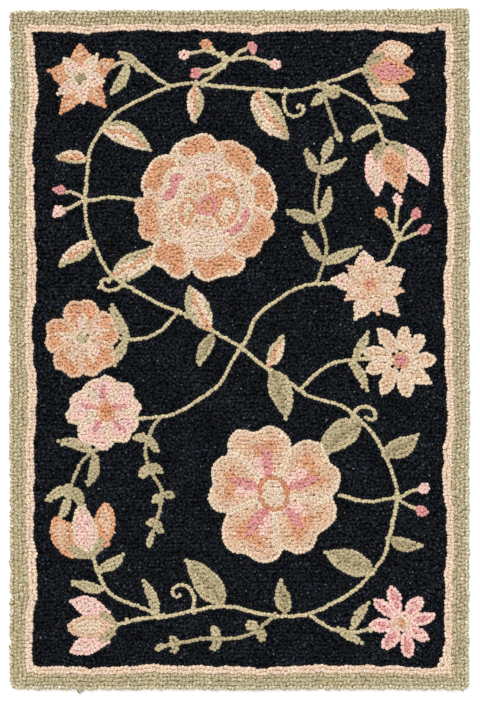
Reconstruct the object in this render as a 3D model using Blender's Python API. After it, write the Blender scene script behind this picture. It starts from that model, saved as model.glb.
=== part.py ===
"""Small hooked rug, lying flat with its long side along Y.

The rug is one closed solid: wool loops hooked close together through a cotton ground cloth. Its edge
wanders a little, as hand-hooked rows do. Three bands of wool show from above: a wide border band, a narrow
line inside it, and the field. The rows of the border and of the line run round the rug as low ribs, closer
together at the top and the bottom than at the sides, and the outermost row is rounded over the edge, with a
deeper groove behind it.

Units are metres, +Z is up, the underside is the plane z = 0 and the origin is the middle of the rug's box
on that plane.
"""

import math

import bmesh
import bpy

# Overall size.
WIDTH = 0.610
LENGTH = 0.902
PILE_TOP = 0.0080

# Rows of loops, counted in from the edge.
ROW_PITCH = 0.0055
BORDER_ROWS = 4
LINE_ROWS = 2
BORDER_END = BORDER_ROWS * ROW_PITCH
LINE_END = BORDER_END + LINE_ROWS * ROW_PITCH

# The outermost row, rounded over the edge, and the groove behind it.
OUTER_ROW = (
    # inset, height
    (0.0018, 0.0000),
    (0.0005, 0.0012),
    (0.0000, 0.0032),
    (0.0005, 0.0053),
    (0.0018, 0.0069),
    (0.0031, 0.0073),
    (0.0045, 0.0068),
    (ROW_PITCH, 0.0060),
)

# The other rows' rib: share of the row's width, depth below the pile's top.
ROW_RIB = (
    # share, depth
    (0.22, 0.0003),
    (0.50, 0.0000),
    (0.78, 0.0003),
    (1.00, 0.0010),
)
FIELD_INSET = LINE_END + ROW_RIB[0][0] * ROW_PITCH

# How far each side strays outward from a straight line, in millimetres, at even steps from its first corner.
# The long sides run from the top corner down, the short sides from the left corner to the right.
SIDE_STRAY_MM = {
    "left": (-0.2, -0.9, 0.2, 0.5, 0.3, 0.1, 0.5, -0.4, -0.2, -0.4, -0.3),
    "right": (0.0, -0.2, 0.6, 0.3, -0.3, 0.3, 0.2, -0.2, -0.2, -0.5, -0.5),
    "top": (-1.0, -0.7, 0.2, -0.7, -0.1, -0.3, 0.3, 1.0, 2.4),
    "bottom": (-0.5, 0.0, 0.0, -0.3, 0.2, 0.1, 0.0, -0.4, 0.3),
}
STRAY_DEPTH = 0.080

# How wide the border and the line come out on each side, as a share of their plain width.
BAND_SHARE = {"left": 1.01, "right": 0.95, "top": 0.85, "bottom": 0.93}

# The top right corner flares, which moves the middle of the box this far up from the middle of the sides.
BOX_MIDDLE_Y = 0.00105

# Corner radii, by the signs of x and y.
CORNER_RADIUS = {
    (-1, 1): 0.0045,
    (1, 1): 0.0055,
    (1, -1): 0.0065,
    (-1, -1): 0.0065,
}

# Mesh steps: cells across and along inside the line, and segments round each corner.
CELLS_ACROSS = 18
CELLS_ALONG = 28
CORNER_STEPS = 4
WELD = 0.000001

# Wool and cotton: name, colour, roughness.
WOOLS = (
    ("field wool", (0.010, 0.012, 0.016), 0.95),
    ("line wool", (0.730, 0.560, 0.400), 0.92),
    ("border wool", (0.270, 0.260, 0.150), 0.92),
    ("ground cotton", (0.560, 0.500, 0.390), 0.90),
)
FIELD, LINE, BORDER, GROUND = range(len(WOOLS))


def smooth_read(table, place):
    """Reads a table of even steps at place 0 to 1, with a smooth curve between its values."""
    steps = len(table) - 1
    spot = min(max(place, 0.0), 1.0) * steps
    low = min(int(spot), steps - 1)
    part = spot - low
    ease = part * part * (3 - 2 * part)
    return table[low] + (table[low + 1] - table[low]) * ease


def side_shift(side, inset, place):
    """How far outward a point moves at an inset from a side: the side's stray, and the width of its bands."""
    stray_share = max(0.0, 1 - inset / STRAY_DEPTH)
    band_share = min(max(1 - (inset - LINE_END) / STRAY_DEPTH, 0.0), 1.0)
    narrowing = (1 - BAND_SHARE[side]) * min(inset, LINE_END)
    return stray_share * smooth_read(SIDE_STRAY_MM[side], place) / 1000 + band_share * narrowing


def stray(x, y):
    """Moves a point with the nearest sides' shifts, which die away inside, and centres the box."""
    sign_x = math.copysign(1, x)
    sign_y = math.copysign(1, y)
    across = 0.5 + x / WIDTH
    down = 0.5 - y / LENGTH
    shift_x = side_shift("right" if x > 0 else "left", WIDTH / 2 - abs(x), down)
    shift_y = side_shift("top" if y > 0 else "bottom", LENGTH / 2 - abs(y), across)
    return x + sign_x * shift_x, y + sign_y * shift_y - BOX_MIDDLE_Y


def inner_grid_line(index, cells, size):
    """Position of a line of the grid inside the border, from its low end to its high end."""
    half = size / 2 - FIELD_INSET
    return -half + 2 * half * index / cells


def ring_points(inset):
    """Points once round the rug, anticlockwise from the middle of the lower right corner, at an inset."""
    half_x = WIDTH / 2 - inset
    half_y = LENGTH / 2 - inset
    points = []
    for sign_x, sign_y in ((1, -1), (1, 1), (-1, 1), (-1, -1)):
        radius = max(CORNER_RADIUS[sign_x, sign_y] - inset, 0.0)
        centre_x = sign_x * (half_x - radius)
        centre_y = sign_y * (half_y - radius)
        start = math.atan2(sign_y, sign_x) - math.pi / 4
        for step in range(CORNER_STEPS + 1):
            turn = start + math.pi / 2 * step / CORNER_STEPS
            points.append((centre_x + radius * math.cos(turn), centre_y + radius * math.sin(turn)))
        if sign_x == sign_y:
            lines = [inner_grid_line(i, CELLS_ACROSS, WIDTH) for i in range(1, CELLS_ACROSS)]
            points += [(-sign_y * line, sign_y * half_y) for line in lines]
        else:
            lines = [inner_grid_line(i, CELLS_ALONG, LENGTH) for i in range(1, CELLS_ALONG)]
            points += [(sign_x * half_x, sign_x * line) for line in lines]
    return [stray(x, y) for x, y in points]


def join_rings(mesh, low, high, material):
    """Quads from one ring of points up to the next."""
    for i, corner in enumerate(low):
        j = (i + 1) % len(low)
        face = mesh.faces.new((corner, low[j], high[j], high[i]))
        face.material_index = material


def fill_grid(mesh, height, material, facing_up):
    """The flat part inside the innermost ring, as a grid of quads."""
    columns = [inner_grid_line(i, CELLS_ACROSS, WIDTH) for i in range(CELLS_ACROSS + 1)]
    rows = [inner_grid_line(j, CELLS_ALONG, LENGTH) for j in range(CELLS_ALONG + 1)]
    corners = [[mesh.verts.new((*stray(x, y), height)) for x in columns] for y in rows]
    for j in range(CELLS_ALONG):
        for i in range(CELLS_ACROSS):
            cell = [corners[j][i], corners[j][i + 1], corners[j + 1][i + 1], corners[j + 1][i]]
            face = mesh.faces.new(cell if facing_up else cell[::-1])
            face.material_index = material


def row_of(inset):
    """The row that a point of the section lies in, from 0 at the edge. A row's inner groove is its own."""
    return math.ceil(round(inset / ROW_PITCH, 6)) - 1


def band_of(inset):
    """The wool that covers the top at an inset from the edge."""
    row = row_of(inset)
    if row < BORDER_ROWS:
        return BORDER
    return LINE if row < BORDER_ROWS + LINE_ROWS else FIELD


def rib_section():
    """The section from the floor at the edge, over the rows' ribs, to where the field lies flat."""
    section = list(OUTER_ROW)
    for row in range(1, BORDER_ROWS + LINE_ROWS):
        section += [((row + share) * ROW_PITCH, PILE_TOP - depth) for share, depth in ROW_RIB]
    return section + [(FIELD_INSET, PILE_TOP)]


def make_rug():
    """The rug's closed solid: ribbed rim, top and underside welded into one mesh."""
    mesh = bmesh.new()
    section = rib_section()
    rings = [[mesh.verts.new((x, y, height)) for x, y in ring_points(inset)] for inset, height in section]
    for index in range(1, len(rings)):
        join_rings(mesh, rings[index - 1], rings[index], band_of(section[index][0]))
    under = [mesh.verts.new((x, y, 0.0)) for x, y in ring_points(FIELD_INSET)]
    join_rings(mesh, under, rings[0], GROUND)
    fill_grid(mesh, PILE_TOP, FIELD, facing_up=True)
    fill_grid(mesh, 0.0, GROUND, facing_up=False)
    bmesh.ops.remove_doubles(mesh, verts=mesh.verts, dist=WELD)

    data = bpy.data.meshes.new("rug")
    mesh.to_mesh(data)
    mesh.free()
    for name, colour, roughness in WOOLS:
        data.materials.append(make_wool(name, colour, roughness))
    data.shade_smooth()
    data.set_sharp_from_angle(angle=math.radians(40))
    rug = bpy.data.objects.new("rug", data)
    bpy.context.scene.collection.objects.link(rug)
    return rug


def make_wool(name, colour, roughness):
    """A matt fibre."""
    wool = bpy.data.materials.new(name)
    wool.use_nodes = True
    shader = wool.node_tree.nodes["Principled BSDF"]
    shader.inputs["Base Color"].default_value = (*colour, 1.0)
    shader.inputs["Roughness"].default_value = roughness
    shader.inputs["Metallic"].default_value = 0.0
    return wool


for old in list(bpy.data.objects):
    bpy.data.objects.remove(old)

make_rug()
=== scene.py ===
"""Looks of the hooked rug: wool loops, hooked in rows through a cotton ground cloth.

The loops are worked out as a maker hooks them. Rows of the border and of the line run round the rug. A stem
is one row. Each flower and leaf is edged with a row that follows its outline, and filled with straight rows.
One row of the field follows round the motifs and along the line, and straight rows fill the rest. The
field's flowers are a plain vine with ordinary flowers, laid out for this rug.

Lengths are in millimetres until a mesh is made. +Y is the rug's top end and +Z is up.
"""

import math

import bpy
import numpy as np
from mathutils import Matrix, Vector, kdtree


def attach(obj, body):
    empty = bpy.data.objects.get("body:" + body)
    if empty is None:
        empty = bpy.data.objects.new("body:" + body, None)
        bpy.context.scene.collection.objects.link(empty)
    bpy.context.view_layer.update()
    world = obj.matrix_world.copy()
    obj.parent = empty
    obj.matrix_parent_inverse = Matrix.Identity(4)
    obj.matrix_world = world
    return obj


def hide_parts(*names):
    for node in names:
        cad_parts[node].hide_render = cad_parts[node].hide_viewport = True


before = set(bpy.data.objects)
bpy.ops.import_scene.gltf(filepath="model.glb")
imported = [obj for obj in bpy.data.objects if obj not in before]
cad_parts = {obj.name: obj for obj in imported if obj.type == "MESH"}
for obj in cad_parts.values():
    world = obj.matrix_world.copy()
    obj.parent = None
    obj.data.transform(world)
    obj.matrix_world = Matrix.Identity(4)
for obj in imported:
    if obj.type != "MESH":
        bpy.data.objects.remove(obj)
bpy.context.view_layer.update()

MM = 0.001
SEED = 7
DESIGN_SEED = 21

# The rug, as its solid has it.
WIDTH = 610.0
LENGTH = 902.0
PILE_TOP = 8.0
ROW_PITCH = 5.5
BORDER_ROWS = 4
LINE_ROWS = 2
LINE_END = (BORDER_ROWS + LINE_ROWS) * ROW_PITCH

# How far each side strays outward from a straight line, at even steps from its first corner. The long sides
# run from the top corner down, the short sides from the left corner to the right.
SIDE_STRAY = {
    "left": (-0.2, -0.9, 0.2, 0.5, 0.3, 0.1, 0.5, -0.4, -0.2, -0.4, -0.3),
    "right": (0.0, -0.2, 0.6, 0.3, -0.3, 0.3, 0.2, -0.2, -0.2, -0.5, -0.5),
    "top": (-1.0, -0.7, 0.2, -0.7, -0.1, -0.3, 0.3, 1.0, 2.4),
    "bottom": (-0.5, 0.0, 0.0, -0.3, 0.2, 0.1, 0.0, -0.4, 0.3),
}
STRAY_DEPTH = 80.0
BOX_MIDDLE_Y = 1.05

# How wide the border and the line come out on each side, as a share of their plain width.
BAND_SHARE = {"left": 1.01, "right": 0.95, "top": 0.85, "bottom": 0.93}
CORNER_RADIUS = {(1, -1): 6.5, (1, 1): 5.5, (-1, 1): 4.5, (-1, -1): 6.5}

# How far in from the edge the rings' rows lie. The outermost leans over the edge, with a groove behind it.
RING_INSETS = (2.45, 8.15, 13.65, 19.15, 24.75, 30.25)

# Steps along a row and between rows. The border's steps are those of the right, top, left and bottom sides.
STEP = 4.6
LINE_STEP = 4.7
BORDER_STEPS = (5.0, 5.4, 5.0, 4.9)
MOTIF_ROW = 5.0
STEM_ROW = 5.1
FIELD_STEP = 5.1
FIELD_ROW = 5.5

# How deep inside a shape the row lies that follows its outline, and how unsteady the straight rows are.
OUTLINE_DEPTH = 0.48 * MOTIF_ROW
MOTIF_UNSTEADY = 0.9
FIELD_UNSTEADY = 0.75

# The least distance between two loops' middles, how wide a gap takes one more loop, and how far from a loop
# gaps are measured. In the end the loops that lie nearer than SPREAD_REACH are eased apart in rounds, by a
# share of what they lack and at most so far in a round.
LEAST = 3.6
GAP = 3.7
GAP_REACH = 6.0
SPREAD_ROUNDS = 5
SPREAD_REACH = 5.0
SPREAD_SHARE = 0.2
SPREAD_MOST = 0.35

# How wide the zones of one wool are inside a shape: the edge, and each one further in.
EDGE_ZONE = 6.0
ZONE = 12.0
ZONE_UNEVEN = 0.08

# Places where the bands' wools stray at the corners: a place, a radius and the wool there.
CORNER_PATCHES = (
    ((-284, 430), 5.0, "border"),
    ((262, 421), 2.8, "field"),
    ((-284, -430), 5.0, "border"),
    ((269, -415), 7.0, "line"),
    ((279, -430), 4.5, "line"),
)

# Knots of yarn that hang out at the edge.
KNOTS = ((-212.5, -453.0), (-209.5, -450.5))

# The field's chart, a grid of small cells. Distances in it are measured up to so many cells.
CORNERS = ((-1, -1), (1, -1), (1, 1), (-1, 1))
CELL = 0.8
FIELD_HALF = (WIDTH / 2 - LINE_END, LENGTH / 2 - LINE_END)
CHART_MARGIN = 8.0
DEEPEST = 32

# Wools: the colour of the yarn, as red, green and blue out of 255.
WOOLS = {
    "field": (17, 20, 25),
    "line": (236, 210, 186),
    "border": (190, 177, 142),
    "cream": (231, 208, 182),
    "blush": (233, 202, 188),
    "peach": (225, 189, 159),
    "coral": (219, 163, 125),
    "deep": (205, 138, 100),
    "rose": (218, 150, 147),
    "pink": (242, 202, 191),
    "leaf": (196, 182, 146),
    "sage": (184, 170, 135),
    "olive": (162, 147, 113),
    "stem": (207, 192, 155),
}
NAMES = list(WOOLS)


def is_wool(wools, *names):
    """Where an array of wools has one of these."""
    return np.isin(wools, [NAMES.index(name) for name in names])


# ---- outlines

def ahead_of(heading):
    """Steps of one millimetre ahead, at headings in radians."""
    return np.column_stack((np.cos(heading), np.sin(heading)))


def right_of(heading):
    """Steps of one millimetre to the right of headings in radians."""
    return np.column_stack((np.sin(heading), -np.cos(heading)))


def polar(centre, angle, reach):
    """The point at a distance from a centre, at an angle in degrees."""
    turn = math.radians(angle)
    return (centre[0] + reach * math.cos(turn), centre[1] + reach * math.sin(turn))


def curve(points, step=2.0):
    """A smooth line through points, with a point about every step."""
    knots = [np.array(p, float) for p in points]
    knots = [2 * knots[0] - knots[1], *knots, 2 * knots[-1] - knots[-2]]
    line = []
    for before, start, end, after in zip(knots, knots[1:], knots[2:], knots[3:]):
        count = max(2, int(np.linalg.norm(end - start) / step))
        for t in np.arange(count) / count:
            line.append(0.5 * (2 * start + (end - before) * t
                               + (2 * before - 5 * start + 4 * end - after) * t ** 2
                               + (3 * start - before - 3 * end + after) * t ** 3))
    line.append(knots[-2])
    return np.array(line)


def blade(base, angle, length, width, bend=0.0, belly=1.0, blunt=0.8, steps=22):
    """The outline of a leaf or a narrow petal that starts at an angle and turns by bend degrees."""
    t = np.linspace(0, 1, steps)
    heading = np.radians(angle + bend * (t - 0.35))
    stride = ahead_of(heading) * length / (steps - 1)
    line = np.array(base, float) + np.vstack(((0, 0), np.cumsum(stride[:-1], axis=0)))
    half = width / 2 * np.sin(np.pi * t ** belly) ** blunt
    side = -right_of(heading) * half[:, None]
    return np.vstack((line + side, (line - side)[::-1]))


def fan(centre, angle, reach, spread, notch, steps=26):
    """The outline of a broad petal: a sector with a round outer edge, and a notch in the middle of it."""
    turn = np.linspace(-1, 1, steps)
    radius = reach * (1 - 0.30 * np.abs(turn) ** 3 - notch * np.exp(-(turn / 0.22) ** 2))
    rim = ahead_of(np.radians(angle + turn * spread / 2)) * radius[:, None]
    return np.vstack((np.zeros((1, 2)), rim)) + np.array(centre, float)


def disc(centre, radius, squeeze=1.0, angle=0.0, steps=20):
    """A round or oval outline."""
    turn = np.linspace(0, 2 * np.pi, steps, endpoint=False)
    x, y = radius * np.cos(turn), radius * squeeze * np.sin(turn)
    lean = math.radians(angle)
    return np.column_stack((x * math.cos(lean) - y * math.sin(lean),
                            x * math.sin(lean) + y * math.cos(lean))) + np.array(centre, float)


def by_hand(points):
    """Points moved a millimetre or two, as a design wanders that is drawn on the cloth by hand."""
    x, y = np.asarray(points, float).T
    return np.column_stack((x + 2.0 * np.sin(y / 31 + 1.3) + 1.3 * np.sin((x + y) / 15 + 0.4),
                            y + 2.0 * np.sin(x / 27 + 2.1) + 1.3 * np.sin((x - y) / 17 + 1.9)))


class Design:
    """The shapes and tints of the field, the later ones over the earlier ones."""

    def __init__(self):
        self.marks = []
        self.hand = np.random.default_rng(DESIGN_SEED)

    def near(self, value, spread):
        """A value as an unsteady hand draws it."""
        return value + spread * self.hand.uniform(-1, 1)

    def shape(self, outline, *wools, line=None):
        """An outline hooked in these wools, in zones from its edge inwards, and on in the last one."""
        self.marks.append({"outline": by_hand(outline), "wools": wools, "line": line})

    def tint(self, outline, wool):
        """Another wool where an outline crosses the last shape."""
        self.marks.append({"outline": by_hand(outline), "tint": wool})

    def stem(self, points, wool="stem"):
        """A stem along a smooth line, one row wide."""
        line = curve(points)
        ahead = np.gradient(line, axis=0)
        ahead /= np.linalg.norm(ahead, axis=1)[:, None]
        side = np.column_stack((-ahead[:, 1], ahead[:, 0])) * STEM_ROW / 2
        self.shape(np.vstack((line + side, (line - side)[::-1])), wool, line=by_hand(line))


# ---- motifs

BERRY_RADIUS = 8.0
BERRY_WOOLS = ("rose", "pink", "coral")
DAISY_HEART = 11


def leaf(d, base, angle, length, width, bend, wools):
    """A broad leaf with a shaded half and a midrib."""
    light, shade, vein = wools
    d.shape(blade(base, angle, length, width, bend, belly=0.85), light)
    d.tint(blade(base, angle - 6, length * 0.96, width * 0.62, bend, belly=0.8), shade)
    d.tint(blade(base, angle, length * 0.84, 5.4, bend, blunt=0.2), vein)


def willow(d, base, angle, length, width, bend, wool="leaf"):
    """A narrow leaf."""
    d.shape(blade(base, angle, length, width, bend, belly=0.9, blunt=0.7), wool)


def sprig(d, points, count, grow):
    """A stem with pairs of small leaves and one at its tip.

    grow(d, spot, heading, sign, share, wool) draws each of them.
    """
    d.stem(points, "sage")
    line = curve(points)
    for place in np.linspace(0.18, 0.9, count):
        at = int(place * (len(line) - 1))
        ahead = line[min(at + 3, len(line) - 1)] - line[max(at - 3, 0)]
        heading = math.degrees(math.atan2(ahead[1], ahead[0]))
        for sign, wool in ((-1, "leaf"), (1, "sage")):
            grow(d, line[at], d.near(heading + sign * 50, 5), sign, 1.1 - 0.4 * place, wool)
    grow(d, line[-1], heading, 0, 0.7, "leaf")


def coin(d, spot, heading, sign, share, wool):
    """A round leaf, set off its stem."""
    size = 19 * share
    d.shape(disc(polar(spot, heading, size * 0.62), size / 2, 0.72, heading), wool)


def frond(d, spot, heading, sign, share, wool):
    """A narrow leaf that curls back towards the stem's tip."""
    willow(d, spot, heading, 50 * share, 15, -sign * 24, wool)


def berries(d, root, twigs):
    """A spray of berries at the ends of thin twigs from one root."""
    for angle, reach, bend in twigs:
        d.stem((root, polar(root, angle + bend, reach * 0.55), polar(root, angle, reach)))
    for i, (angle, reach, _) in enumerate(twigs):
        spot = polar(root, angle, reach + BERRY_RADIUS * 0.6)
        d.shape(disc(spot, BERRY_RADIUS, 0.86, angle), BERRY_WOOLS[i % len(BERRY_WOOLS)])


def daisy(d, centre, reach, count, phase, width, petal, heart):
    """Narrow petals round a disc."""
    for i in range(count):
        angle = d.near(phase + 360 * i / count, 4)
        inset = DAISY_HEART * 0.4
        base = polar(centre, angle, inset)
        d.shape(blade(base, angle, d.near(reach - inset, 3), width, belly=1.35, blunt=0.62), *petal)
    d.shape(disc(centre, DAISY_HEART), *heart)


def lily(d, centre, reach, phase, outer, inner, heart):
    """Two rings of pointed petals."""
    for share, turn, wools in ((1.0, 0, outer), (0.74, 36, inner)):
        for i in range(5):
            angle = d.near(phase + turn + 72 * i, 4)
            length = d.near(reach * share, 3)
            width = reach * 0.52 * share ** 0.5
            d.shape(blade(centre, angle, length, width, d.near(0, 10), 1.05, 0.85), *wools)
    d.shape(disc(centre, reach * 0.16), *heart)


def rose(d, centre, reach, phase, petal, streaks, heart, notch=0.10):
    """Five broad notched petals, each with a forked streak, round a disc."""
    for i in range(5):
        angle = d.near(phase + 72 * i, 6)
        size = d.near(reach, reach * 0.07)
        d.shape(fan(centre, angle, size, d.near(82, 6), d.near(notch, 0.04)), *petal)
        for lean, share, wool in ((13, 0.46, streaks[1]), (-10, 0.56, streaks[0])):
            start = polar(centre, angle, size * 0.16)
            d.tint(blade(start, angle + lean, size * share, size * 0.15, -lean), wool)
    d.shape(disc(centre, reach * 0.24), *heart)


def peony(d, centre, reach, phase, rings, heart):
    """Rings of scalloped petals, each ring over the one outside it."""
    for count, share, spread, turn, wools in rings:
        for i in range(count):
            angle = d.near(phase + turn + 360 * i / count, 6)
            size = d.near(reach * share, reach * 0.06)
            d.shape(fan(centre, angle, size, d.near(spread, 8), d.near(0.05, 0.05)), *wools[i % len(wools)])
    d.shape(disc(centre, reach * 0.15), *heart)


def tulip(d, base, angle, size, side, front):
    """Two side petals that curl outward, one in front, and two sepals."""
    for sign in (-1, 1):
        start = polar(base, angle + sign * 90, size * 0.08)
        d.shape(blade(start, angle + sign * 30, size, size * 0.46, -sign * 40, belly=0.95, blunt=0.7), *side)
    d.shape(blade(base, angle, size * 0.94, size * 0.50, belly=0.9, blunt=0.6), *front)
    root = polar(base, angle, -size * 0.08)
    for sign in (-1, 1):
        d.shape(blade(root, angle + sign * 46, size * 0.5, size * 0.19, -sign * 40), "sage")


def tendril(d, start, angle, size, sign):
    """A thin stem that winds into a scroll."""
    points = [start]
    for i in range(9):
        points.append(polar(points[-1], angle, size * 0.30 * (1 - i / 11)))
        angle += sign * 46 * (0.5 + i / 9)
    d.stem(points)


# ---- layout

# The lower half of the vine, from its end to the rug's middle. The upper half is the same after half a turn.
HALF_VINE = ((-172, -370), (-110, -352), (-20, -344), (90, -350),
             (182, -292), (206, -190), (168, -98), (80, -52))
SIDE_STEMS = (
    ((206, -196), (170, -202), (130, -196)),
    ((-104, -352), (-168, -326), (-194, -276)),
    ((80, -52), (122, -18), (178, -14)),
    ((90, -350), (140, -378), (190, -366)),
    ((0, 0), (-30, -50), (-84, -84), (-140, -90)),
)
VINE_LEAVES = (
    # base, angle, length, width, bend
    ((-24, -344), 122, 80, 36, 30),
    ((62, -350), 100, 48, 21, -25),
    ((182, -292), 164, 72, 33, -30),
    ((200, -250), -14, 46, 19, 30),
    ((168, -98), 210, 76, 35, 30),
    ((192, -140), 30, 54, 24, 25),
    ((40, -26), -64, 68, 30, -25),
    ((-34, 20), -122, 48, 20, 25),
)
VINE_BERRIES = (
    # angle, reach, bend
    (-24, 30, -8),
    (22, 34, 8),
)
TENDRILS = (
    # start, angle, size, sign
    ((-62, -346), 76, 42, 1),
    ((150, -98), 70, 38, -1),
)
NARROW_LEAVES = (
    # base, angle, length, width, bend
    ((150, -16), 62, 44, 14, 20),
    ((146, -14), -60, 50, 14, -20),
    ((-176, -320), 170, 50, 15, -30),
    ((-188, -296), 28, 44, 14, 30),
    ((150, -376), 66, 44, 14, -30),
    ((128, -370), -32, 40, 13, 20),
)


def turned(point, turn=180):
    """A point after half a turn about the middle, or after none."""
    return (-point[0], -point[1]) if turn else point


def grow_thin(d, turn):
    """The tendrils and narrow leaves of one half."""
    for start, angle, size, sign in TENDRILS:
        tendril(d, turned(start, turn), angle + turn, size, sign)
    for base, angle, length, width, bend in NARROW_LEAVES:
        willow(d, turned(base, turn), angle + turn, length, width, bend)


def make_design():
    """A vine in a long S with a large flower in each bend, and sprays off its side stems."""
    d = Design()
    d.stem((*HALF_VINE, (0, 0), *[turned(point) for point in HALF_VINE[::-1]]))
    for points in SIDE_STEMS:
        for turn in (0, 180):
            d.stem([turned(point, turn) for point in points])
    for base, angle, *size in VINE_LEAVES:
        for turn, wools in ((0, ("leaf", "sage", "olive")), (180, ("leaf", "cream", "coral"))):
            leaf(d, turned(base, turn), angle + turn, *size, wools)
    for turn in (0, 180):
        berries(d, turned((207, -198), turn), [(angle + turn, *twig) for angle, *twig in VINE_BERRIES])

    # lower half
    sprig(d, ((-104, -88), (-126, -138), (-104, -192), (-116, -244)), 4, coin)
    sprig(d, ((50, -350), (4, -380), (-54, -384), (-98, -390)), 3, coin)
    willow(d, (-112, -352), 104, 52, 15, 24)
    sprig(d, ((-180, -128), (-212, -150), (-228, -192)), 2, frond)
    grow_thin(d, 0)
    tulip(d, (-198, -272), 104, 70, ("coral", "peach"), ("cream", "pink", "rose"))
    tulip(d, (-172, -370), 176, 62, ("pink", "blush"), ("peach", "cream", "coral"))
    rose(d, (44, -190), 96, 100, ("cream", "peach", "coral"), ("rose", "pink"), ("deep", "cream"))
    daisy(d, (214, -360), 46, 8, 10, 18, ("pink", "rose"), ("cream", "coral"))
    daisy(d, (212, -14), 50, 9, 5, 20, ("cream", "peach"), ("coral", "rose"))
    rose(d, (-176, -84), 52, 30, ("cream", "pink"), ("rose", "blush"), ("coral", "deep"))

    # upper half
    sprig(d, ((104, 88), (118, 138), (98, 196), (112, 252)), 3, frond)
    sprig(d, ((110, 352), (122, 318), (132, 290)), 1, coin)
    berries(d, (-14, 382), ((200, 44, 10), (172, 58, -10), (150, 32, 10), (30, 28, 10), (-5, 56, 10)))
    d.stem(((-60, 350), (-36, 362), (-14, 382)))
    berries(d, (212, 146), ((62, 38, 10), (95, 48, 8), (126, 38, -10), (26, 30, 0)))
    d.stem(((176, 104), (200, 120), (212, 146)))
    grow_thin(d, 180)
    tulip(d, (198, 272), 284, 68, ("pink", "cream"), ("peach", "coral"))
    tulip(d, (172, 370), -4, 62, ("peach", "cream"), ("coral", "rose"))
    peony(d, (-44, 190), 98, 10, (
        # count, share of the reach, spread, turn, wools
        (8, 1.00, 58, 0, (("cream", "coral", "deep"), ("peach", "coral"), ("cream", "coral"))),
        (6, 0.70, 76, 20, (("cream", "peach"), ("blush", "cream"), ("cream", "rose"))),
        (5, 0.44, 90, 45, (("coral", "cream"), ("cream", "peach"))),
    ), ("rose", "coral"))
    lily(d, (-210, 358), 48, 24, ("coral", "peach"), ("cream", "pink"), ("olive", "leaf"))
    rose(d, (-210, 14), 52, 20, ("peach", "coral"), ("cream", "blush"), ("cream", "leaf"), 0.06)
    lily(d, (176, 84), 52, 30, ("cream", "pink", "rose"), ("peach", "cream"), ("coral", "rose"))
    return d


# ---- chart

def smooth_read(table, place):
    """Reads a table of even steps at places 0 to 1, with a smooth curve between its values."""
    table = np.asarray(table)
    spot = np.clip(place, 0, 1) * (len(table) - 1)
    low = np.minimum(spot.astype(int), len(table) - 2)
    part = spot - low
    return table[low] + (table[low + 1] - table[low]) * part * part * (3 - 2 * part)


def stray(points):
    """Points moved by the nearest sides' stray and by the width of their bands. Both die away inside."""
    x, y = np.asarray(points, float).T
    moved = []
    for here, size, along, low, high in ((x, WIDTH, 0.5 - y / LENGTH, "left", "right"),
                                         (y, LENGTH, 0.5 + x / WIDTH, "bottom", "top")):
        inset = size / 2 - abs(here)
        shift = np.where(here > 0, smooth_read(SIDE_STRAY[high], along), smooth_read(SIDE_STRAY[low], along))
        narrow = 1 - np.where(here > 0, BAND_SHARE[high], BAND_SHARE[low])
        narrow = narrow * np.clip(inset, 0, LINE_END) * np.clip(1 - (inset - LINE_END) / STRAY_DEPTH, 0, 1)
        moved.append(here + np.sign(here) * (np.clip(1 - inset / STRAY_DEPTH, 0, None) * shift + narrow))
    return np.column_stack((moved[0], moved[1] - BOX_MIDDLE_Y))


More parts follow.
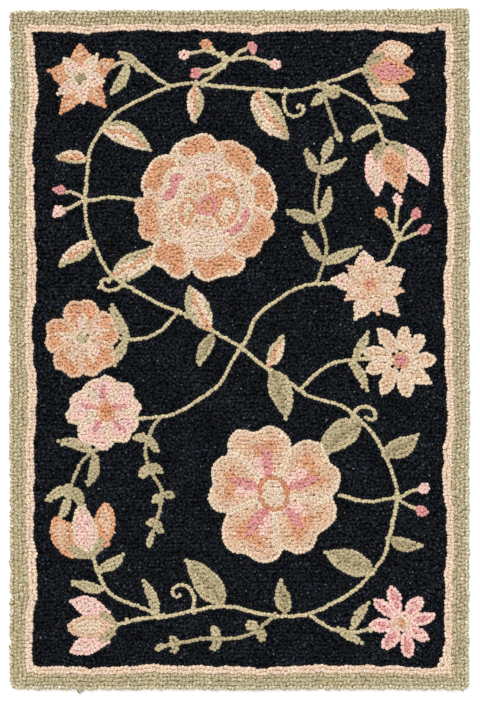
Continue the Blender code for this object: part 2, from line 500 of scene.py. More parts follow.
class Chart:
    """A grid of small cells over the field, each with the shape that it belongs to, or -1 outside."""

    def __init__(self, design):
        self.low = -np.array(FIELD_HALF) - CHART_MARGIN
        self.columns, self.rows = (2 * -self.low / CELL).astype(int)
        self.owner = np.full((self.rows, self.columns), -1)
        self.tone = np.full((self.rows, self.columns), -1)
        self.wools = [("field",)]
        self.lines = []
        self.hand = np.random.default_rng(SEED)
        field = np.array((*CORNERS, CORNERS[0])) * FIELD_HALF
        edge = [np.linspace(start, end, 200, endpoint=False) for start, end in zip(field, field[1:])]
        self.owner[self.inside(sway(np.vstack(edge), 1.0))] = 0
        for mark in design.marks:
            cells = self.inside(mark["outline"]) & (self.owner >= 0)
            if "tint" in mark:
                self.tone[cells & (self.owner == len(self.wools) - 1)] = NAMES.index(mark["tint"])
                continue
            self.owner[cells] = len(self.wools)
            self.tone[cells] = -1
            if mark["line"] is not None:
                self.lines.append((len(self.wools), mark["line"]))
            self.wools.append(mark["wools"])
        self.depth = self.distance_to_edge() * CELL

    def inside(self, outline):
        """The cells inside an outline, by how often it winds round them."""
        x, y = ((outline - self.low) / CELL - 0.5).T
        turns = np.zeros((self.rows, self.columns + 1), np.int16)
        for xa, ya, xb, yb in zip(x, y, np.roll(x, -1), np.roll(y, -1)):
            low, high = sorted((ya, yb))
            crossed = np.arange(max(math.ceil(low), 0), min(math.ceil(high), self.rows))
            if len(crossed):
                at = xa + (crossed - ya) * (xb - xa) / (yb - ya)
                turns[crossed, np.clip(np.ceil(at), 0, self.columns).astype(int)] += 1 if yb > ya else -1
        return np.cumsum(turns, axis=1)[:, :-1] != 0

    def distance_to_edge(self):
        """Distance in cells from each cell to the nearest edge between two shapes, up to the deepest."""
        edge = np.zeros(self.owner.shape, bool)
        for cells, owner in ((edge, self.owner), (edge.T, self.owner.T)):
            differs = owner[1:] != owner[:-1]
            cells[1:] |= differs
            cells[:-1] |= differs
        square = np.where(edge, 0.0, DEEPEST ** 2)
        # First along the columns, then along the rows.
        for _ in range(2):
            best = square.copy()
            for shift in range(1, DEEPEST):
                best[shift:] = np.minimum(best[shift:], square[:-shift] + shift ** 2)
                best[:-shift] = np.minimum(best[:-shift], square[shift:] + shift ** 2)
            square = best.T
        return np.sqrt(square) + 0.5

    def cell(self, x, y):
        """Row and column of the cell at a place."""
        return int((y - self.low[1]) / CELL), int((x - self.low[0]) / CELL)

    def owner_at(self, x, y):
        """The shape at a place."""
        j, i = self.cell(x, y)
        return self.owner[j, i] if 0 <= j < self.rows and 0 <= i < self.columns else -1

    def wool_at(self, x, y):
        """The wool of a loop at a place in the field: its tint, or that of its shape's uneven zone."""
        j, i = self.cell(x, y)
        if self.tone[j, i] >= 0:
            return int(self.tone[j, i])
        wools = self.wools[self.owner[j, i]]
        zone = max(0, math.ceil((self.depth[j, i] - EDGE_ZONE) / ZONE + self.hand.normal(0, ZONE_UNEVEN)))
        return NAMES.index(wools[min(zone, len(wools) - 1)])


def level_lines(values, level):
    """The closed lines along which a grid of values has one level, as columns and rows of the grid."""
    over = values > level
    rows, columns = values.shape
    index = np.arange(rows * columns).reshape(rows, columns)
    flat = over[:, :-1] != over[:, 1:]
    upright = over[:-1] != over[1:]
    sides = np.stack((flat[:-1], upright[:, 1:], flat[1:], upright[:, :-1]))
    ids = np.stack((index[:-1, :-1], index[:-1, 1:] + rows * columns,
                    index[1:, :-1], index[:-1, :-1] + rows * columns))
    count = sides.sum(axis=0)
    links = {}

    def join(first, second, cells):
        for one, other in zip(ids[first][cells].tolist(), ids[second][cells].tolist()):
            links.setdefault(one, []).append(other)
            links.setdefault(other, []).append(one)

    for first in range(4):
        for second in range(first + 1, 4):
            join(first, second, sides[first] & sides[second] & (count == 2))
    join(0, 1, count == 4)
    join(2, 3, count == 4)

    found = []
    while links:
        here, chain = next(iter(links)), []
        while here in links:
            chain.append(here)
            onward = links.pop(here)
            here = next((n for n in onward if n in links), None)
        is_upright, spots = np.divmod(chain, rows * columns)
        j, i = np.divmod(spots, columns)
        start = values[j, i]
        end = values[np.minimum(j + is_upright, rows - 1), np.minimum(i + 1 - is_upright, columns - 1)]
        part = (level - start) / np.where(end == start, 1, end - start)
        found.append(np.column_stack((i + np.where(is_upright, 0, part), j + np.where(is_upright, part, 0))))
    return found


# ---- rows of loops

# The kinds of row, and of their loops.
KINDS = {
    # how far a loop strays from its row, mean distance to the six nearest loops in a plain place,
    # half sizes along and across the row, how far its plies turn
    "rim": (0.32, 5.5, 3.05, 2.58, 0.45),
    "ring": (0.35, 5.5, 3.05, 2.62, 0.45),
    "motif": (0.35, 5.3, 3.05, 2.58, 0.75),
    "field": (0.5, 5.75, 3.15, 2.70, 0.45),
}

# How far before and after a point of a row its heading is taken.
HEADING_REACH = 1.5


def tree_of(places):
    """A tree that finds the places near a point."""
    tree = kdtree.KDTree(len(places))
    for i, (x, y) in enumerate(places):
        tree.insert((x, y, 0), i)
    tree.balance()
    return tree


def even_points(line, step, closed):
    """Points about a step apart along a line, with the line's heading at each."""
    if closed:
        line = np.vstack((line, line[:1]))
    lengths = np.concatenate(((0,), np.cumsum(np.linalg.norm(np.diff(line, axis=0), axis=1))))
    count = max(1, round(lengths[-1] / step))
    places = (np.arange(count) + (0.5 if closed else 0.0)) * lengths[-1] / count
    if not closed:
        places = np.append(places, lengths[-1])

    def at(place):
        wrapped = place % lengths[-1] if closed else np.clip(place, 0, lengths[-1])
        return np.column_stack([np.interp(wrapped, lengths, line[:, k]) for k in (0, 1)])

    ahead = at(places + HEADING_REACH) - at(places - HEADING_REACH)
    return at(places), np.arctan2(ahead[:, 1], ahead[:, 0])


class Pile:
    """The loops, each a place, a heading along its row, a wool and a kind of row."""

    def __init__(self, chart):
        self.chart = chart
        self.loops = []
        self.squares = {}

    def is_clear(self, x, y):
        """True if no loop's middle is nearer than the least distance."""
        across, down = int(x // LEAST), int(y // LEAST)
        for i in (across - 1, across, across + 1):
            for j in (down - 1, down, down + 1):
                for other in self.squares.get((i, j), ()):
                    if (other[0] - x) ** 2 + (other[1] - y) ** 2 < LEAST ** 2:
                        return False
        return True

    def add(self, x, y, heading, wool, kind):
        self.loops.append([x, y, heading, wool, kind])
        self.squares.setdefault((int(x // LEAST), int(y // LEAST)), []).append((x, y))

    def hook(self, points, headings, wanted, kind):
        """Loops at those of the points that are wanted and clear of the loops so far."""
        for (x, y), heading in zip(points, headings):
            if wanted(self.chart.owner_at(x, y)) and self.is_clear(x, y):
                self.add(x, y, heading, self.chart.wool_at(x, y), kind)


def side_path(corner, inset, least_radius=0.6):
    """A quarter of a ring round the rug: half a corner, a side, and half the next corner."""
    quarters = list(CORNER_RADIUS)
    points = []
    for k, turns in ((corner, (0, 45)), ((corner + 1) % 4, (-45, 0))):
        sign_x, sign_y = quarters[k]
        radius = max(CORNER_RADIUS[sign_x, sign_y] - inset, least_radius)
        centre = (sign_x * (WIDTH / 2 - inset - radius), sign_y * (LENGTH / 2 - inset - radius))
        middle = math.degrees(math.atan2(sign_y, sign_x))
        points += [polar(centre, middle + turn, radius) for turn in np.linspace(*turns, 5)]
    return np.array(points)


def sway(points, share):
    """Points moved by a share of how far hand-hooked rows wander, in long waves and in short ones."""
    x, y = np.asarray(points, float).T
    long_x = 2.2 * np.sin(y / 33 + x / 97 + 0.6) + 1.4 * np.sin(y / 21 - x / 140 + 2.0)
    long_y = 1.5 * np.sin(x / 36 + y / 130 + 1.1) + 0.9 * np.sin(x / 17 - y / 160)
    short_x = 0.8 * np.sin(y / 8.8 + 0.6) + 0.6 * np.sin(y / 5.3 + x / 60)
    short_y = 0.7 * np.sin(x / 8.7 + 2.2) + 0.5 * np.sin(x / 5.1 + y / 60)
    return np.column_stack((x + share * (long_x + short_x), y + share * (long_y + short_y)))


def ripple(points):
    """How far the edge and the rows behind it waver every few loops."""
    x, y = np.asarray(points, float).T
    return np.column_stack((
        0.42 * np.sin(y / 3.1 + 0.4) + 0.34 * np.sin(y / 4.7 + 1.9) + 0.22 * np.sin(y / 2.3),
        0.42 * np.sin(x / 2.9 + 2.7) + 0.34 * np.sin(x / 5.1) + 0.22 * np.sin(x / 2.2 + 1.1)))


def hook_rings(pile, hand):
    """The rows of the border and of the line, round and round from the edge inwards, and the knots."""
    for row, inset in enumerate(RING_INSETS):
        name = "border" if row < BORDER_ROWS else "line"
        kind = "rim" if row == 0 else "ring"
        share = ((row + 1) / (BORDER_ROWS + LINE_ROWS)) ** 1.3
        for corner in range(4):
            step = BORDER_STEPS[corner] if name == "border" else LINE_STEP
            step *= hand.uniform(0.98, 1.02)
            points, headings = even_points(side_path(corner, inset), step, closed=False)
            points = sway(points[:-1], share) + ripple(points[:-1])
            for (x, y), heading in zip(points, headings):
                pile.add(x, y, heading, NAMES.index(name), kind)
    for x, y in KNOTS:
        pile.add(x, y, 0.0, NAMES.index("olive"), "rim")


def hook_outlines(pile, wanted, kind):
    """The rows that follow the shapes' outlines."""
    chart = pile.chart
    lines = level_lines(np.where(chart.owner < 0, 0.0, chart.depth), OUTLINE_DEPTH)
    for line in sorted(lines, key=len, reverse=True):
        line = (line + 0.5) * CELL + chart.low
        smooth = sum(np.roll(line, shift, axis=0) for shift in range(-2, 3)) / 5
        pile.hook(*even_points(smooth, STEP, closed=True), wanted, kind)


def hook_straight(pile, step, pitch, unsteady, wanted, kind, hand):
    """Straight rows over the whole field, each shifted against the last, kept where they are wanted."""
    half_x, half_y = FIELD_HALF
    across = np.arange(-half_x, half_x, step)
    for row, y in enumerate(np.arange(half_y - pitch / 2, -half_y, -pitch)):
        drift = step * (0.5 * (row % 2) + hand.uniform(-0.25, 0.25))
        x = across + drift + hand.normal(0, unsteady, len(across))
        wavy = y + 0.8 * np.sin(across / 70 + row / 14) + hand.normal(0, 0.8 * unsteady, len(across))
        pile.hook(np.column_stack((x, wavy)), np.zeros(len(x)), wanted, kind)


def hook_gaps(pile, wanted, kind):
    """Loops where the rows leave room for one more, the widest gaps first."""
    chart = pile.chart
    far = np.full(chart.owner.shape, 1.5 * GAP_REACH)
    reach = int(GAP_REACH / CELL)
    offsets = np.arange(-reach, reach + 1)

    def stamp(x, y):
        """Notes the distance to a loop in the cells round it."""
        j, i = chart.cell(x, y)
        rows = np.clip(j + offsets, 0, chart.rows - 1)
        columns = np.clip(i + offsets, 0, chart.columns - 1)
        from_x = (columns + 0.5) * CELL + chart.low[0] - x
        from_y = (rows + 0.5) * CELL + chart.low[1] - y
        window = np.ix_(rows, columns)
        far[window] = np.minimum(far[window], np.sqrt(from_x[None, :] ** 2 + from_y[:, None] ** 2))

    for x, y, *_ in pile.loops:
        if abs(x) < -chart.low[0] and abs(y) < -chart.low[1]:
            stamp(x, y)
    free = wanted(chart.owner) & (far > GAP)
    order = np.argsort(-far[free], kind="stable")
    slope_y, slope_x = np.gradient(chart.depth)
    for j, i in np.argwhere(free)[order]:
        if far[j, i] > GAP:
            x, y = (np.array((i, j)) + 0.5) * CELL + chart.low
            heading = math.atan2(slope_x[j, i], -slope_y[j, i])
            pile.add(x, y, heading, chart.wool_at(x, y), kind)
            stamp(x, y)


def spread(pile):
    """Eases the loops of the field apart where they crowd, without letting one leave its shape."""
    owner_at = pile.chart.owner_at
    for _ in range(SPREAD_ROUNDS):
        tree = tree_of([loop[:2] for loop in pile.loops])
        moved = []
        for x, y, _, _, kind in pile.loops:
            push_x = push_y = 0.0
            if kind not in ("rim", "ring"):
                for place, _, distance in tree.find_range((x, y, 0), SPREAD_REACH):
                    if distance > 0:
                        push = SPREAD_SHARE * (SPREAD_REACH - distance) / distance
                        push_x += push * (x - place[0])
                        push_y += push * (y - place[1])
            moved.append((x + max(-SPREAD_MOST, min(SPREAD_MOST, push_x)),
                          y + max(-SPREAD_MOST, min(SPREAD_MOST, push_y))))
        for loop, (x, y) in zip(pile.loops, moved):
            if owner_at(x, y) == owner_at(loop[0], loop[1]):
                loop[:2] = x, y


def lay_pile(hand):
    """All the loops of the rug, in the order in which they are hooked."""
    pile = Pile(Chart(make_design()))
    hook_rings(pile, hand)
    for shape, line in pile.chart.lines:
        pile.hook(*even_points(line, STEP, closed=False), lambda owner: owner == shape, "motif")
    hook_outlines(pile, lambda owner: owner > 0, "motif")
    hook_straight(pile, STEP, MOTIF_ROW, MOTIF_UNSTEADY, lambda owner: owner > 0, "motif", hand)
    hook_gaps(pile, lambda owner: owner > 0, "motif")
    hook_outlines(pile, lambda owner: owner == 0, "field")
    hook_straight(pile, FIELD_STEP, FIELD_ROW, FIELD_UNSTEADY, lambda owner: owner == 0, "field", hand)
    hook_gaps(pile, lambda owner: owner >= 0, "field")
    spread(pile)
    for loop in pile.loops:
        strays = KINDS[loop[4]][0]
        loop[0] += hand.normal(0, strays)
        loop[1] += hand.normal(0, strays)
    for (x, y), radius, wool in CORNER_PATCHES:
        for loop in pile.loops:
            if math.hypot(loop[0] - x, loop[1] - y) < radius:
                loop[3] = NAMES.index(wool)
    return pile


# ---- loops

# A loop is closed and has two plies that lie side by side, with a groove between them. Its colour holds
# painted shade, darker towards its foot and in the groove where its neighbours and plies shade it, and a
# faint painted highlight at its crown.
RINGS = (
    # share of the loop's width, depth below its top, groove's depth, distance unrolled, painted shade, its
    # warmth
    (1.65, None, 0.00, 9.0, 0.80, 0.40),
    (1.00, 0.95, 0.12, 3.6, 0.90, 0.20),
    (0.76, 0.18, 0.25, 2.4, 1.02, 0.02),
    (0.00, 0.20, 0.00, 0.0, 1.00, 0.00),
)
FOOT = 0.9
LOOP_TOP = PILE_TOP - 0.1
HIGHEST = PILE_TOP + 0.6
SQUARENESS = 3.0
GROOVE_NOTCH = 0.10
GROOVE_PAINTED_SHADE = 0.10

# How much loops differ from one another, and how uneven each is round itself.
SIZE_SPREAD = 0.03
TOP_SPREAD = 0.12
RIM_TOP_SPREAD = 0.2
LEAN_SPREAD = 0.25
HEADING_SPREAD = 0.30
TILT = 0.10
UNEVEN_REACH = 0.04
UNEVEN_HEIGHT = 0.08

# How uneven a loop's tone is round it, at random, for pale wool and for dark, and what share of that its top
# has.
# Where it is darker, a loop is painted warmer, as light that the wool bounces warm into its shade, counted
# within these limits of shade.
PALE_UNEVEN = 0.27
DARK_UNEVEN = 1.12
TOP_UNEVEN = 0.4
PAINTED_SHADE_WARMTH = 0.6
SHADE_LIMITS = (0.4, 1.6)

# The wool's tone from loop to loop: its spread, the dark wool's mean and spread as a logarithm, and its
# limits. A motif's loops take on a share of the mean colour near them, with a mean, a spread and a most.
TONE_SPREAD = 0.03
DARK_TONE = (-0.27, 0.16)
TONE_LIMITS = (0.2, 8.0)
BLEND_SHARE = (0.15, 0.10)
BLEND_MOST = 0.5
BLEND_REACH = 6.5

# Each loop and fibre starts at another place of the yarn's pattern, up to here.
YARN_SPAN = 40

# How deep the gaps between loops are and how much painted shade they get, as a share of full. The border's
# are those of the right, top, left and bottom sides. Petals' painted shade is painted less warm.
BORDER_DEPTHS = (1.15, 1.18, 1.05, 0.95)
LINE_DEPTH = 0.40
MOTIF_DEPTH = 0.57
PETAL_DEPTH = 0.40
PETAL_SHADE_WARMTH = 0.55
PETAL_WOOLS = ("cream", "blush", "peach", "rose", "pink")

# The rings' loops are wider by this on the long sides. The outermost row leans out over the edge.
RING_WIDER = 0.10
RIM_TOP = 7.3
RIM_FOOT = 0.25
RIM_WIDE = 3.3
RIM_LEAN = 1.3
RIM_FOOT_SHARE = 0.98
RIM_ALONG = 3.3
RIM_ACROSS = 3.75
RIM_OUTWARD = 0.55
# The outermost row is painted lighter and cooler, ring by ring, as painted light from the pale floor on the
# edge.
RIM_PAINTED_LIGHT = (1.05, 1.34, 1.26, 1.16)
RIM_LIGHT_TINT = (0.96, 1.00, 1.10)

# Crowded loops are narrower and roomy ones wider, within these shares.
ROOM_LIMITS = (0.86, 1.18)

# How far a loop lies in its own square of the map for baking, ring by ring, and where its foot lies there.
BAKE_RADII = (0.44, 0.34, 0.18)
BAKE_FOOT = (0.95, 0.03)


def linear(colour):
    """A colour out of 255 as linear light."""
    part = np.asarray(colour, float) / 255
    return np.where(part <= 0.04045, part / 12.92, ((part + 0.055) / 1.055) ** 2.4)


def room_at(places, plain):
    """How roomy each loop's place is: the mean distance to its six nearest loops against the plain one."""
    tree = tree_of(places)
    mean = np.array([sum(hit[2] for hit in tree.find_n((x, y, 0), 7)) / 6 for x, y in places])
    return np.clip(mean / plain, *ROOM_LIMITS)


def blend_near(places, colours, chosen, hand):
    """The chosen loops' colours, each part of the way to the mean of the chosen loops round it."""
    members = np.flatnonzero(chosen)
    tree = tree_of(places[members])
    blended = colours.copy()
    for i, part in zip(members, np.clip(hand.normal(*BLEND_SHARE, len(colours)), 0, BLEND_MOST)):
        near = members[[hit[1] for hit in tree.find_range((*places[i], 0), BLEND_REACH)]]
        blended[i] += part * (colours[near].mean(axis=0) - colours[i])
    return blended


def soft_noise(x, y, size, hand, waves=6):
    """A smooth uneven value about 0 that changes over a size."""
    total = np.zeros_like(x)
    for _ in range(waves):
        turn, phase = hand.uniform(0, 2 * math.pi, 2)
        length = size * hand.uniform(0.7, 1.5)
        total += np.sin((x * math.cos(turn) + y * math.sin(turn)) * 2 * math.pi / length + phase)
    return total / math.sqrt(waves)


def shape_loops(pile, hand):
    """Every loop's form as numbers: place, heading, half sizes, heights, lean and colour."""
    x, y, heading, wool, kind = (np.array(column) for column in zip(*pile.loops))
    _, plain_room, wide, deep, twist = np.array([KINDS[name] for name in kind]).T
    count = len(x)
    rim = kind == "rim"
    places = stray(np.column_stack((x, y)))
    room = np.where(rim, 1.0, room_at(places, plain_room))
    grow = room * hand.normal(1.0, SIZE_SPREAD, count)
    wide = wide * grow
    wide = np.where(kind == "ring", wide + RING_WIDER - RING_WIDER * abs(np.cos(heading)), wide)
    deep = deep * grow
    along = np.where(rim, RIM_ALONG, np.hypot(wide * np.cos(heading), deep * np.sin(heading)))
    across = np.where(rim, RIM_ACROSS, np.hypot(wide * np.sin(heading), deep * np.cos(heading)))
    top = LOOP_TOP + hand.normal(0, TOP_SPREAD, count) + 0.15 * soft_noise(x, y, 60, hand)
    top = np.minimum(np.where(rim, RIM_TOP + hand.normal(0, RIM_TOP_SPREAD, count), top), HIGHEST)
    outward = right_of(heading) * rim[:, None]
    lean = hand.normal(0, LEAN_SPREAD, (count, 2)) + outward * RIM_LEAN
    places += outward * (RIM_OUTWARD - RIM_LEAN * RIM_TOP / PILE_TOP)
    ply = hand.normal(0, 1, count) * twist

    motif = kind == "motif"
    dark = is_wool(wool, "field")
    colours = blend_near(places, np.array([linear(WOOLS[name]) for name in NAMES])[wool], motif, hand)
    tone = 1 + hand.normal(0, TONE_SPREAD, count) + 0.03 * soft_noise(x, y, 45, hand)
    uneven = hand.normal(*DARK_TONE, count) + 0.20 * soft_noise(x, y, 16, hand, 12)
    uneven = np.exp(uneven + 0.16 * soft_noise(x, y, 60, hand, 12))
    tone = np.where(dark, tone * uneven, tone)
    colours = colours * np.clip(tone, *TONE_LIMITS)[:, None]
    warm = hand.normal(0, 1, count) * np.where(dark, 0.02, 0.003)
    warm += np.where(dark, 0.10, 0.012) * soft_noise(x, y, 22, hand, 10)
    colours = colours * np.column_stack((1 + warm, np.ones(count), 1 - warm))
    # The rim's loops are painted cooler, a part of their painted light.
    colours = colours * np.where(rim[:, None], RIM_LIGHT_TINT, 1.0)

    petal = is_wool(wool, *PETAL_WOOLS)
    side = np.round(heading / (math.pi / 2) - 1).astype(int) % 4
    # A loop's depth sets how deep its gaps are and how much painted shade it gets.
    depth = np.where(is_wool(wool, "border"), np.array(BORDER_DEPTHS)[side], 1.0)
    depth = np.where(is_wool(wool, "line"), LINE_DEPTH, depth)
    depth = np.where(motif, np.where(petal, PETAL_DEPTH, MOTIF_DEPTH), depth)
    return {
        "place": places,
        "row": heading,
        "heading": heading + hand.normal(0, HEADING_SPREAD, count),
        "along": along,
        "across": across,
        "top": top,
        "lean": lean,
        "tilt": hand.normal(0, TILT, (count, 2)),
        "depth": depth,
        "ply": ply,
        "rim": rim,
        "wool": wool,
        "colour": np.clip(colours, 0, 1),
        "painted_shade_warmth": np.where(petal, PETAL_SHADE_WARMTH, 1.0),
        "y": y,
    }


def loop_faces(segments):
    """The corners of one loop's faces, from its foot to its top, and how many corners each face has."""
    here = np.arange(segments)
    onward = (here + 1) % segments
    faces = [here[::-1]]
    for low in range(0, (len(RINGS) - 2) * segments, segments):
        high = low + segments
        faces += list(np.column_stack((low + here, low + onward, high + onward, high + here)))
    faces += list(np.column_stack((high + here, high + onward, np.full(segments, high + segments))))
    return np.concatenate(faces), np.array([len(face) for face in faces])


def bake_places(corners, turns, count):
    """Each corner's place on the map for baking, where every loop has a square of its own."""
    side = math.ceil(math.sqrt(count))
    column, row = np.arange(count) % side, np.arange(count) // side
    radial = np.append(np.repeat(BAKE_RADII, len(turns)), 0.0)
    angle = np.append(np.tile(turns, len(BAKE_RADII)), 0.0)
    u, v = (0.5 + radial * np.cos(angle))[corners], (0.5 + radial * np.sin(angle))[corners]
    middle, reach = BAKE_FOOT
    u[:len(turns)] = middle + reach * np.cos(turns[::-1])
    v[:len(turns)] = middle + reach * np.sin(turns[::-1])
    return np.stack((u[None, :] + column[:, None], v[None, :] + row[:, None]), axis=-1) / side


def add_object(name, data):
    """An object in the scene."""
    thing = bpy.data.objects.new(name, data)
    bpy.context.scene.collection.objects.link(thing)
    return thing


def paint(mesh, colours):
    """Gives each vertex of a mesh its colour, as linear light."""
    rgba = np.ones((len(mesh.vertices), 4))
    rgba[:, :3] = np.clip(colours.reshape(-1, 3), 0, 1)
    mesh.color_attributes.new("wool", "FLOAT_COLOR", "POINT").data.foreach_set("color", rgba.ravel())


def make_loops(name, form, chosen, hand, segments, shade_uneven):
    """One mesh of closed loops."""
    count = int(chosen.sum())
    pick = {key: value[chosen].reshape(count, -1) for key, value in form.items()}
    depth, rim, top = pick["depth"], pick["rim"], pick["top"]
    place_x, place_y = np.split(pick["place"], 2, axis=1)
    lean_x, lean_y = np.split(pick["lean"], 2, axis=1)
    tilt_x, tilt_y = np.split(pick["tilt"], 2, axis=1)
    rings = len(RINGS) - 1
    per_loop = rings * segments + 1
    verts = np.empty((count, per_loop, 3))
    yarn = np.empty((count, per_loop, 2))
    shade, painted_shade_warmth = np.empty((2, count, per_loop))
    drift = hand.uniform(0, YARN_SPAN, (count, 2))
    turns = np.arange(segments) * 2 * math.pi / segments
    groove = 0.5 + 0.5 * np.cos(2 * turns)
    cos_h, sin_h = np.cos(pick["heading"]), np.sin(pick["heading"])
    around = turns + (pick["ply"] - pick["heading"])
    cos_a, sin_a = np.cos(around), np.sin(around)
    square = (abs(cos_a) ** SQUARENESS + abs(sin_a) ** SQUARENESS) ** (-1 / SQUARENESS)
    for k, (share, below, deep, unrolled, tone, warm) in enumerate(RINGS):
        last = k == rings
        width = 1 if last else segments
        at = slice(k * segments, k * segments + width)
        bend, cos_k, sin_k = groove[:width], cos_a[:, :width], sin_a[:, :width]
        height = FOOT if below is None else top - below * depth
        if k == 0:
            share = np.where(rim, RIM_FOOT_SHARE, share)
            height = np.where(rim, RIM_FOOT, height)
        if k == 1:
            height = np.where(rim, RIM_WIDE, height)
        reach = share * square[:, :width] * (1 - GROOVE_NOTCH * bend)
        reach = reach * hand.normal(1.0, UNEVEN_REACH, (count, width))
        local_x = pick["along"] * reach * cos_k
        local_y = pick["across"] * reach * sin_k
        if k:
            height = height - deep * depth * bend + hand.normal(0, UNEVEN_HEIGHT, (count, width))
            height += share * (tilt_x * cos_k + tilt_y * sin_k)
        rise = height / PILE_TOP
        verts[:, at, 0] = place_x + cos_h * local_x - sin_h * local_y + lean_x * rise
        verts[:, at, 1] = place_y + sin_h * local_x + cos_h * local_y + lean_y * rise
        verts[:, at, 2] = height
        yarn[:, at] = unrolled * ahead_of(turns[:width]) + drift[:, None, :]
        uneven = hand.normal(0, shade_uneven, (count, width))
        uneven = depth * (uneven * TOP_UNEVEN if last else uneven - uneven.mean(axis=1, keepdims=True))
        # Painted shade: the ring's tone darkens the foot and the groove and lightens the crown; the
        # unevenness is random.
        groove_painted_shade = GROOVE_PAINTED_SHADE * bend if 0 < k < rings else 0
        shade[:, at] = (1 + (tone - 1 - groove_painted_shade) * depth) * (np.exp(uneven) if k else 1.0)
        painted_shade_warmth[:, at] = pick["painted_shade_warmth"] * (warm + PAINTED_SHADE_WARMTH * (1 - np.clip(shade[:, at], *SHADE_LIMITS)))
        # The rim's rings get their painted light.
        shade[:, at] *= np.where(rim, RIM_PAINTED_LIGHT[k], 1.0)

    corners, sizes = loop_faces(segments)
    loop_number = np.arange(count)[:, None]
    mesh = bpy.data.meshes.new(name)
    mesh.vertices.add(count * per_loop)
    mesh.vertices.foreach_set("co", (verts * MM).ravel())
    mesh.loops.add(count * len(corners))
    mesh.loops.foreach_set("vertex_index", (corners + loop_number * per_loop).ravel())
    mesh.polygons.add(count * len(sizes))
    mesh.polygons.foreach_set("loop_start", (np.cumsum(sizes) - sizes + loop_number * len(corners)).ravel())
    mesh.update(calc_edges=True)
    mesh.shade_smooth()

    # The colours take the painted shade and its painted warmth.
    hue = pick["colour"] / pick["colour"].max(axis=1, keepdims=True)
    shade_warmed = pick["colour"][:, None, :] * hue[:, None, :] ** painted_shade_warmth[:, :, None]
    paint(mesh, shade_warmed * shade[:, :, None])
    bake = mesh.uv_layers.new(name="OFBake")
    bake.data.foreach_set("uv", bake_places(corners, turns, count).ravel())
    mesh.uv_layers.new(name="yarn").data.foreach_set("uv", yarn[:, corners].ravel())
    mesh.uv_layers.active = bake
    return add_object(name, mesh)


# ---- loose fibres

# Fuzz stands off the rim and lint lies on the field. A fibre is a closed thin spike. Its length is a least
# one and a random rest, whose mean is given. It bends by a share of its length, and less up and down.
FIBRE_BEND = 0.22
FIBRE_RISE = 0.3
FUZZ_PER_LOOP = 6
FUZZ_LEAST = 0.7
FUZZ_REST = 1.6
FUZZ_MOST = 5.0
FUZZ_WIDTH = 0.15
FUZZ_HEIGHTS = (2.0, 7.2)
FUZZ_CLEAR = 1.2
LINT_COUNT = 220
LINT_LEAST = 1.5
LINT_REST = 3.0
LINT_WIDTH = 0.28
LINT_HEIGHT = PILE_TOP + 0.3
LINT = (150, 158, 168)


def make_fibres(name, start, ahead, width, colour, hand):
    """One mesh of fibres that start at places and bend on their way ahead."""
    count = len(start)
    length = np.linalg.norm(ahead, axis=1)[:, None]
    side = np.cross(ahead, hand.normal(0, 1, (count, 3)))
    side /= np.linalg.norm(side, axis=1)[:, None]
    other = np.cross(ahead, side) / length
    bend = side * hand.normal(0, 1, (count, 1)) + other * hand.normal(0, 1, (count, 1))
    bend = FIBRE_BEND * length * bend
    bend[:, 2] *= FIBRE_RISE
    verts = np.empty((count, 7, 3))
    for k, (middle, share) in enumerate(((start, 0.5), (start + 0.5 * ahead + bend, 0.4))):
        for corner in range(3):
            turn = 2 * math.pi * corner / 3
            radial = side * math.cos(turn) + other * math.sin(turn)
            verts[:, 3 * k + corner] = middle + width * share * radial
    verts[:, 6] = start + ahead
    faces = [(2, 1, 0)]
    for a, b in ((0, 1), (1, 2), (2, 0)):
        faces += [(a, b, b + 3, a + 3), (a + 3, b + 3, 6)]
    all_faces = [tuple(7 * i + corner for corner in face) for i in range(count) for face in faces]
    mesh = bpy.data.meshes.new(name)
    mesh.from_pydata((verts.reshape(-1, 3) * MM).tolist(), [], all_faces)
    mesh.shade_smooth()
    paint(mesh, np.repeat(colour, 7, axis=0))
    drift = np.repeat(hand.uniform(0, YARN_SPAN, (count, 2)), sum(len(face) for face in faces), axis=0)
    mesh.uv_layers.new(name="yarn").data.foreach_set("uv", drift.ravel())
    return add_object(name, mesh)


def make_fuzz(form, hand):
    """The fuzz that stands off the rim, clear of the floor."""
    rim = np.repeat(np.flatnonzero(form["rim"]), FUZZ_PER_LOOP)
    count = len(rim)
    outward = right_of(form["row"][rim])
    along = ahead_of(form["row"][rim])
    height = hand.uniform(*FUZZ_HEIGHTS, count)
    reach = form["across"][rim] * (0.92 - 0.4 * np.clip((height - RIM_WIDE) / (RIM_TOP - RIM_WIDE), 0, 1))
    start = form["place"][rim] + form["lean"][rim] * (height / PILE_TOP)[:, None] + outward * reach[:, None]
    start += along * hand.normal(0, 1.3, (count, 1))
    length = np.minimum(FUZZ_LEAST + hand.exponential(FUZZ_REST, count), FUZZ_MOST)
    ahead = outward * hand.uniform(0.3, 1.0, (count, 1)) + along * hand.normal(0, 0.6, (count, 1))
    ahead = np.column_stack((ahead, hand.normal(0.15, 0.3, count)))
    ahead *= (length / np.linalg.norm(ahead, axis=1))[:, None]
    ahead[:, 2] = np.clip(ahead[:, 2], FUZZ_CLEAR - height, PILE_TOP + FUZZ_CLEAR - height)
    # The fuzz is painted paler than the border's wool, as painted light where it catches light at the edge.
    colour = linear(WOOLS["border"]) * hand.normal(1.15, 0.12, (count, 1))
    return make_fibres("pile_fuzz", np.column_stack((start, height)), ahead, FUZZ_WIDTH, colour, hand)


